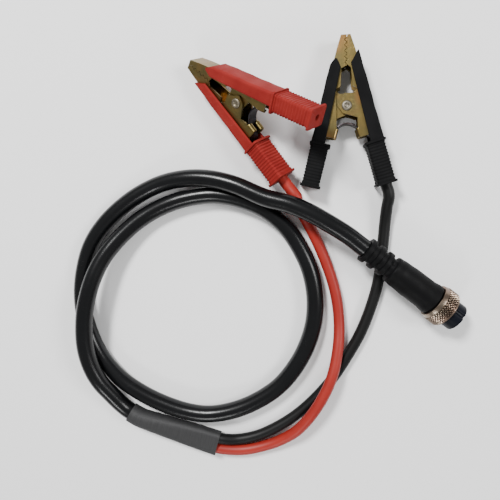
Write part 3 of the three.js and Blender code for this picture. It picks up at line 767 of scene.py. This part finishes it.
def cover(name, side, hole, mouth, turn, spot):
    """Cover of one handle: the ribbed grip and the open channel in one object."""
    grip = settle(grip_grid(side, hole), turn, spot)
    channel = settle(channel_grid(side, mouth), turn, spot)
    return lofts(name, [(grip, True), channel], sharp_angle=40)


CLIPS = [("black", BLACK_TURN, BLACK_PLACE, BLACK_VINYL), ("red", RED_TURN, RED_PLACE, RED_VINYL)]
for colour, turn, spot, vinyl_of in CLIPS:
    held = cover(f"{colour}_cable_grip_cover", -1, LEAD_OD / 2 + GRIP_CLEARANCE, CABLE_MOUTH, turn, spot)
    finish(held, "root", f"{colour}_plastic", vinyl_of, f"{colour}_cable_cover")
    free = cover(f"{colour}_free_grip_cover", 1, FREE_HOLE, FREE_MOUTH, turn, spot)
    finish(free, f"{colour}_free_half", f"{colour}_plastic", vinyl_of, f"{colour}_free_cover")

# %% [markdown]
# ## Jaws
# The jaws are stamped from sheet steel, so their solids already have the true outline, teeth and ears.
# What is missing is the slight rounding that a punch and a fold leave on every edge. A welded copy
# of each solid gets a narrow bevel, and flat neighbours are merged first so the bevel follows
# real edges only.


# %% Softened copies of solids
JAW_BEVEL = 0.12


def softened(node, name, width):
    """Welded copy of a solid with flat faces merged and every real edge rounded by width."""
    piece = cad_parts[node].copy()
    piece.data = piece.data.copy()
    piece.parent = None
    piece.name = name
    for key in list(piece.keys()):
        del piece[key]
    bpy.context.scene.collection.objects.link(piece)
    select_only(piece)
    bpy.ops.object.mode_set(mode="EDIT")
    bpy.ops.mesh.select_all(action="SELECT")
    bpy.ops.mesh.remove_doubles(threshold=2e-6)
    bpy.ops.mesh.dissolve_limited(angle_limit=math.radians(1.5))
    bpy.ops.object.mode_set(mode="OBJECT")
    rounding = piece.modifiers.new("rounding", "BEVEL")
    rounding.width = width
    rounding.segments = 2
    rounding.limit_method = "ANGLE"
    rounding.angle_limit = math.radians(25)
    rounding.harden_normals = True
    bpy.ops.object.shade_smooth_by_angle(angle=math.radians(30))
    return piece


for colour, turn, spot, _ in CLIPS:
    for half, body in (("cable", "root"), ("free", f"{colour}_free_half")):
        jaw = softened(f"{colour}_{half}_jaw", f"{colour}_{half}_jaw_sheet", JAW_BEVEL * MM)
        finish(jaw, body, "jaw_steel", JAW_COAT, f"{colour}_{half}_jaw")

# %% [markdown]
# ## Rivet, spring and bare core
# The rivet is a surface of revolution: a spun dome on each side with a small punched dimple. The leaf
# spring is a strip carried along an arc with two legs. When the clip opens, one leg follows the free half
# and the other stays, but here the strip is one fixed piece on neither body.


# %% Turned surfaces
def turned_grid(profile, sides):
    """Surface of revolution about X: each profile point (x, r) becomes a circle of radius r at x."""
    profile = np.asarray(profile, float)
    angle = np.linspace(0, 2 * np.pi, sides, endpoint=False)
    x = np.repeat(profile[:, :1], sides, axis=1)
    return np.stack([x, profile[:, 1:] * np.cos(angle), profile[:, 1:] * np.sin(angle)], axis=-1)


RIVET_SEAT = 4.6
RIVET_HEAD = 2.4
RIVET_RISE = 0.8
RIVET_SHANK = 1.5


def rivet_profile():
    """Dimpled dome, shank and dome: the dome is a quarter ellipse with a dip in its middle."""
    r = RIVET_HEAD * np.sin(np.linspace(0, np.pi / 2, 14))
    dome = RIVET_RISE * np.sqrt(np.clip(1 - (r / RIVET_HEAD) ** 2, 0, 1))
    dip = 0.8 * np.exp(-(r / 1.1) ** 4)
    top = np.column_stack([RIVET_SEAT + dome - dip, np.maximum(r, 0.001)])
    shank = [[RIVET_SEAT, RIVET_SHANK], [-RIVET_SEAT, RIVET_SHANK]]
    return np.vstack([top, shank, top[::-1] * [-1, 1]])


def strip(line, half_thickness, half_width, edge):
    """Bent sheet: a rounded rectangle carried along a flat line, its short side square to the line
    and its long side across. Returns the two in-plane numbers and the one across."""
    tangent = unit(np.gradient(line, axis=0))
    normal = np.column_stack([-tangent[:, 1], tangent[:, 0]])
    section = rounded_box(half_thickness, half_width, edge, 28)
    flat = line[:, None] + section[None, :, :1] * normal[:, None]
    across = np.broadcast_to(section[None, :, 1], flat.shape[:2])
    return np.concatenate([flat, across[..., None]], axis=-1)


def spring_grid():
    """Leaf spring: its middle line is a 70 degree arc with a straight leg at each end."""
    bend, crest, leg, turn = 6.8, 8.0, 11.9, math.radians(35)
    centre = -crest - bend
    angle = np.linspace(-turn, turn, 31)
    arc = np.column_stack([centre + bend * np.cos(angle), bend * np.sin(angle)])
    out = np.linspace(leg, 0.6, 20)[:, None] * [-math.sin(turn), math.cos(turn)]
    legs = arc[-1] + out
    return strip(np.vstack([legs * [1, -1], arc, legs[::-1]]), 0.4, 3.2, 0.25)


CRIMP_MIDDLE = 27.2
CRIMP_HALF = 2.2
CRIMP_BEND = 1.15
CRIMP_BACK = -5.4
CRIMP_LEVEL = 2.9
CHEEK = -3.4


def crimp_grid(side, level):
    """Crimp tab: a strip that leaves the jaw's cheek and curls inwards over a half circle. The flat
    line lies in the handle's v and z, and the strip's width runs along u."""
    turn = np.linspace(math.pi / 2, -math.pi * 0.42, 18)
    curl = np.column_stack([CRIMP_BACK - CRIMP_BEND * np.cos(turn), CRIMP_LEVEL + CRIMP_BEND * np.sin(turn)])
    level_part = np.linspace(CHEEK, CRIMP_BACK + 0.2, 5)
    lead_in = np.column_stack([level_part, np.full(5, CRIMP_LEVEL + CRIMP_BEND)])
    grid = strip(np.vstack([lead_in, curl]), 0.34, CRIMP_HALF, 0.2)
    return from_handle(side, CRIMP_MIDDLE + grid[..., 2], grid[..., 0], level * grid[..., 1])


CORE_FRONT = 20.8
STRAND_RADIUS = 0.48
STRAND_CIRCLE = 1.0
STRAND_TURN = 14


def core_grids(side):
    """Bare core: seven strands, six of them twisted round the middle one by a turn each STRAND_TURN."""
    u = np.linspace(LEAD_END - 1.5, CORE_FRONT, 24)
    grids = []
    for k in range(7):
        lay = 2 * np.pi * (u / STRAND_TURN + k / 6)
        off = 0.0 if k == 6 else STRAND_CIRCLE
        ring = np.linspace(0, 2 * np.pi, 10, endpoint=False)
        v = off * np.cos(lay)[:, None] + STRAND_RADIUS * np.cos(ring)[None]
        z = off * np.sin(lay)[:, None] + STRAND_RADIUS * np.sin(ring)[None]
        grids.append(from_handle(side, np.repeat(u[:, None], 10, 1), v, z))
    return grids


for colour, turn, spot, _ in CLIPS:
    upright = turned_grid(rivet_profile(), 40)[..., [1, 2, 0]]
    rivet = lofts(f"{colour}_rivet", [settle(upright, turn, spot)])
    finish(rivet, "root", "rivet_steel", RIVET_STEEL, f"{colour}_pivot_rivet")

    spring = lofts(f"{colour}_spring_strip", [settle(spring_grid(), turn, spot)])
    spring.data.materials.append(SPRING_STEEL)
    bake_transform(spring)
    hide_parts(f"{colour}_leaf_spring")

    for side, half, body in ((-1, "cable", "root"), (1, "free", f"{colour}_free_half")):
        tabs = lofts(f"{colour}_{half}_crimp_tabs",
                     [settle(crimp_grid(side, k), turn, spot) for k in (1, -1)])
        finish(tabs, body, "jaw_steel", JAW_COAT)

    core = lofts(f"{colour}_core_strands", [settle(g, turn, spot) for g in core_grids(-1)])
    finish(core, "root", "copper", COPPER, f"{colour}_lead_core")

# %% [markdown]
# ## Plug
# The plug's body is moulded over the cable: a slightly tapered barrel, then a strain relief of three
# thick ribs with grooves between them, which lets it bend. The ring's knurl is real relief, two
# families of helical grooves crossing as a diamond pattern.


# %% Plug body
def smooth_step(x, low, high):
    """Rise from 0 to 1 between low and high, level at both ends."""
    t = np.clip((x - low) / (high - low), 0, 1)
    return t * t * (3 - 2 * t)


BARREL_RADIUS = 7.35
BARREL_FRONT = -0.3
FIRST_RIB = 29.4
RELIEF_PITCH = 5.17
GROOVE_RADIUS = 5.45
RELIEF_HEIGHT = 0.85
CABLE_BORE = 4.45
STEM_SEAT = 6.3
BODY_SIDES = 96
BARREL_FLARE = 0.45
BARREL_TAPER = 0.3
BARREL_REAR_TAPER = 0.35
WINDOW_DEPTH = 0.55
DENT_DEPTH = 0.7


def body_grid():
    """Outer skin of barrel and relief, then the bore of the cable. Radius is the barrel's, a soft
    step down to the relief, and a rib wave there. Windows press the grooves' sides in at two places,
    and two small round dents beside the ribs are bell curves along the body and round it."""
    x = np.linspace(BARREL_FRONT, RELIEF_REAR, 190)
    angle = np.linspace(0, 2 * np.pi, BODY_SIDES, endpoint=False)
    flare = BARREL_FLARE * smooth_step(x, -5, -1.5)
    taper = BARREL_TAPER * smooth_step(-x, 14, 20) + BARREL_REAR_TAPER * smooth_step(-x, 21, 24)
    barrel = BARREL_RADIUS + flare - taper
    relief = smooth_step(-x, 24.6, 26.0)
    wave = smooth_step(np.cos(2 * np.pi * (-x - FIRST_RIB) / RELIEF_PITCH), -0.35, 0.35)
    ribs = GROOVE_RADIUS + RELIEF_HEIGHT * wave
    radius = barrel * (1 - relief) + ribs * relief
    nearness = np.clip((x + 0.9) / 0.6, 0, 1)
    radius = radius - 0.35 * (1 - np.sqrt(1 - nearness ** 2))
    windows = relief * (1 - wave)
    press = WINDOW_DEPTH * windows[:, None] * smooth_step(np.cos(2 * angle), 0.3, 0.75)[None]
    dent = np.exp(-((x[:, None] + 33.2) / 1.1) ** 2 - ((angle[None] - 1.9) / 0.17) ** 2)
    dent += np.exp(-((x[:, None] + 27.6) / 1.0) ** 2 - ((angle[None] - 1.1) / 0.15) ** 2)
    r = radius[:, None] - press - DENT_DEPTH * dent
    across = np.repeat(x[:, None], BODY_SIDES, 1)
    skin = np.stack([across, r * np.cos(angle), r * np.sin(angle)], axis=-1)
    bore = turned_grid([[RELIEF_REAR + 0.15, CABLE_BORE + 0.1], [RELIEF_REAR + 0.6, CABLE_BORE],
                        [-CABLE_DEPTH, CABLE_BORE], [-CABLE_DEPTH, 0.01]], BODY_SIDES)
    front = turned_grid([[-12.3, 0.01], [-12.3, STEM_SEAT], [BARREL_FRONT, STEM_SEAT]], BODY_SIDES)
    return np.concatenate([front, skin, bore])


def settled_plug(grid):
    """Grid in the plug's own frame, at its place in the row frame."""
    return settle(grid, PLUG_TURN, RING_PLACE)


plug_body = lofts("plug_overmould", [settled_plug(body_grid())])
finish(plug_body, "root", "plug_plastic", PLUG_VINYL, "plug_body")


# %% [markdown]
# The ring is one closed surface: a smooth back edge, the knurled band, a front edge and the bore with
# its thread. Each point keeps the knurl's height there, which the metal uses for its grime.


# %% Coupling ring
RING_LENGTH = 8.2
RING_RADIUS = 9.3
KNURL_TEETH = 40
KNURL_DEPTH = 0.6
KNURL_START = 2.4
KNURL_STEEPNESS = 1.5
THREAD_RADIUS = 7.8
THREAD_DEPTH = 0.28


def ring_grid():
    """Smooth back bevel, knurled band, front bevel and an inner thread, with a worn value for each
    point. The knurl's height is the lower of two helical waves, one of each hand. The thread is a
    wave along the bore, slanted by one pitch a turn."""
    columns = KNURL_TEETH * 8
    angle = np.linspace(0, 2 * np.pi, columns, endpoint=False)
    x = np.linspace(KNURL_START, RING_LENGTH - 0.8, 60)
    helix = KNURL_TEETH * angle[None]
    slant = x[:, None] * KNURL_TEETH / RING_RADIUS
    left = np.abs(np.sin((helix + slant) / 2))
    right = np.abs(np.sin((helix - slant) / 2))
    knurl = np.minimum(np.minimum(left, right) * KNURL_STEEPNESS, 1.0)
    r = RING_RADIUS - KNURL_DEPTH * (1 - knurl)
    band = np.stack([np.repeat(x[:, None], columns, 1), r * np.cos(angle), r * np.sin(angle)], axis=-1)
    back = turned_grid([[0, STEM_SEAT], [0, 8.45], [0.15, 8.6], [KNURL_START - 0.75, 9.0],
                        [KNURL_START - 0.6, 9.0], [KNURL_START - 0.4, 8.8],
                        [KNURL_START - 0.15, 8.8]], columns)
    front = turned_grid([[RING_LENGTH - 0.7, 8.9], [RING_LENGTH - 0.12, 8.8], [RING_LENGTH, 8.6],
                         [RING_LENGTH, 8.2]], columns)
    t = np.linspace(RING_LENGTH - 0.4, 1.3, 44)
    thread = THREAD_RADIUS - THREAD_DEPTH * np.abs(np.sin(np.pi * t[:, None] + angle[None] / 2)) ** 1.5
    inward = np.repeat(t[:, None], columns, 1)
    bore = np.stack([inward, thread * np.cos(angle), thread * np.sin(angle)], axis=-1)
    lip = turned_grid([[1.2, 7.6], [1.2, STEM_SEAT]], columns)
    parts = [back, band, front, bore, lip]
    worn = np.concatenate([np.ones(back.shape[:2]), knurl, np.ones(front.shape[:2]),
                           np.zeros(bore.shape[:2]), np.zeros(lip.shape[:2])])
    return np.concatenate(parts), np.stack([worn.ravel(), worn.ravel()], axis=-1)


ring_points, ring_wear = ring_grid()
ring = lofts("knurled_ring", [(settled_plug(ring_points), True)], ring_wear, sharp_angle=28)
finish(ring, "ring", "nickel", NICKEL, "coupling_ring")


# %% [markdown]
# The insert is turned in one piece, and its keyway pulls a few columns of the nose inwards. The four
# contacts are socket tubes on a small circle in its face.


# %% Insert and contacts
NOSE_REACH = 14.4
NOSE_RADIUS = 6.8
CONTACTS = 4
CONTACT_CIRCLE = 3.2
KEYWAY_ANGLE = 1.2
KEYWAY_HALF_ANGLE = 0.13
KEYWAY_DEPTH_SHARE = 0.13


def insert_grid():
    """Stem, collar and nose, with a keyway down one side of the nose and a recessed face. The keyway
    is a steep bell curve round the nose that draws its radius in by a share."""
    profile = [[-12, 0.01], [-12, 6], [1.5, 6], [1.5, 7.4], [2.7, 7.4], [2.7, NOSE_RADIUS]]
    profile += [[x, NOSE_RADIUS] for x in np.linspace(3.2, NOSE_REACH - 0.5, 16)]
    profile += [[NOSE_REACH - 0.15, 6.65], [NOSE_REACH, 6.3], [NOSE_REACH, 5.7], [NOSE_REACH - 0.5, 5.6],
                [NOSE_REACH - 0.5, 0.01]]
    grid = turned_grid(profile, 96)
    angle = np.arctan2(grid[..., 2], grid[..., 1])
    on_nose = (grid[..., 0] > 3.5) * (np.hypot(grid[..., 1], grid[..., 2]) > 5.5)
    keyway = np.exp(-((angle - KEYWAY_ANGLE) / KEYWAY_HALF_ANGLE) ** 6) * on_nose
    grid[..., 1:] *= (1 - KEYWAY_DEPTH_SHARE * keyway)[..., None]
    return grid


def contact_grid(index):
    """Socket tube: outer wall, mouth with a bevel, bore and blind bottom, standing in the nose's face."""
    profile = [[6.5, 0.01], [6.5, 1.1], [NOSE_REACH - 0.45, 1.1], [NOSE_REACH - 0.35, 1.0],
               [NOSE_REACH - 0.35, 0.75], [NOSE_REACH - 0.6, 0.6], [9.5, 0.6], [9.5, 0.01]]
    grid = turned_grid(profile, 28)
    spin = math.pi / 4 + index * 2 * math.pi / CONTACTS
    return grid + np.array([0, CONTACT_CIRCLE * math.cos(spin), CONTACT_CIRCLE * math.sin(spin)])


insert = lofts("nose_insert", [settled_plug(insert_grid())])
finish(insert, "root", "insert_plastic", NOSE_PLASTIC, "plug_insert")
for index in range(CONTACTS):
    socket = lofts(f"contact_socket_{index + 1}", [settled_plug(contact_grid(index))])
    finish(socket, "root", "contact_metal", CONTACT_METAL, f"contact_{index + 1}")

# %% [markdown]
# ## Stage
# A pale floor and three broad, soft lights, as in a plain product picture. The large area
# lights give the glossy cable its long thin highlights.


# %% Floor and lights
def add_floor():
    """Large pale floor just under the part."""
    size = 3.0
    corner = np.array([[-1, -1, 0], [1, -1, 0], [1, 1, 0], [-1, 1, 0]]) * size
    floor = as_object("floor", corner - np.array([0, 0, 0.00005]), [[0, 1, 2, 3]], smooth=False)
    material, _, shader, _ = blank("floor_paper")
    shader.inputs["Base Color"].default_value = (0.92, 0.92, 0.92, 1)
    shader.inputs["Roughness"].default_value = 0.85
    floor.data.materials.append(material)


LOOP_MIDDLE = (-0.03, -0.03, 0)


def add_light(name, spot, size, watts):
    """Square area light at a spot, turned to the middle of the loop."""
    data = bpy.data.lights.new(name, "AREA")
    data.size = size
    data.energy = watts
    lamp = bpy.data.objects.new(name, data)
    lamp.location = spot
    lamp.rotation_euler = (Vector(LOOP_MIDDLE) - Vector(spot)).to_track_quat("-Z", "Y").to_euler()
    bpy.context.scene.collection.objects.link(lamp)


add_floor()
add_light("key", (-0.35, 0.55, 0.85), 0.22, 17)
add_light("fill", (0.7, 0.1, 0.7), 0.3, 6)
add_light("low", (-0.2, -0.8, 0.6), 0.2, 2.5)
world = bpy.data.worlds.new("studio")
world.use_nodes = True
world.node_tree.nodes["Background"].inputs[0].default_value = (1, 1, 1, 1)
world.node_tree.nodes["Background"].inputs[1].default_value = 0.42
bpy.context.scene.world = world
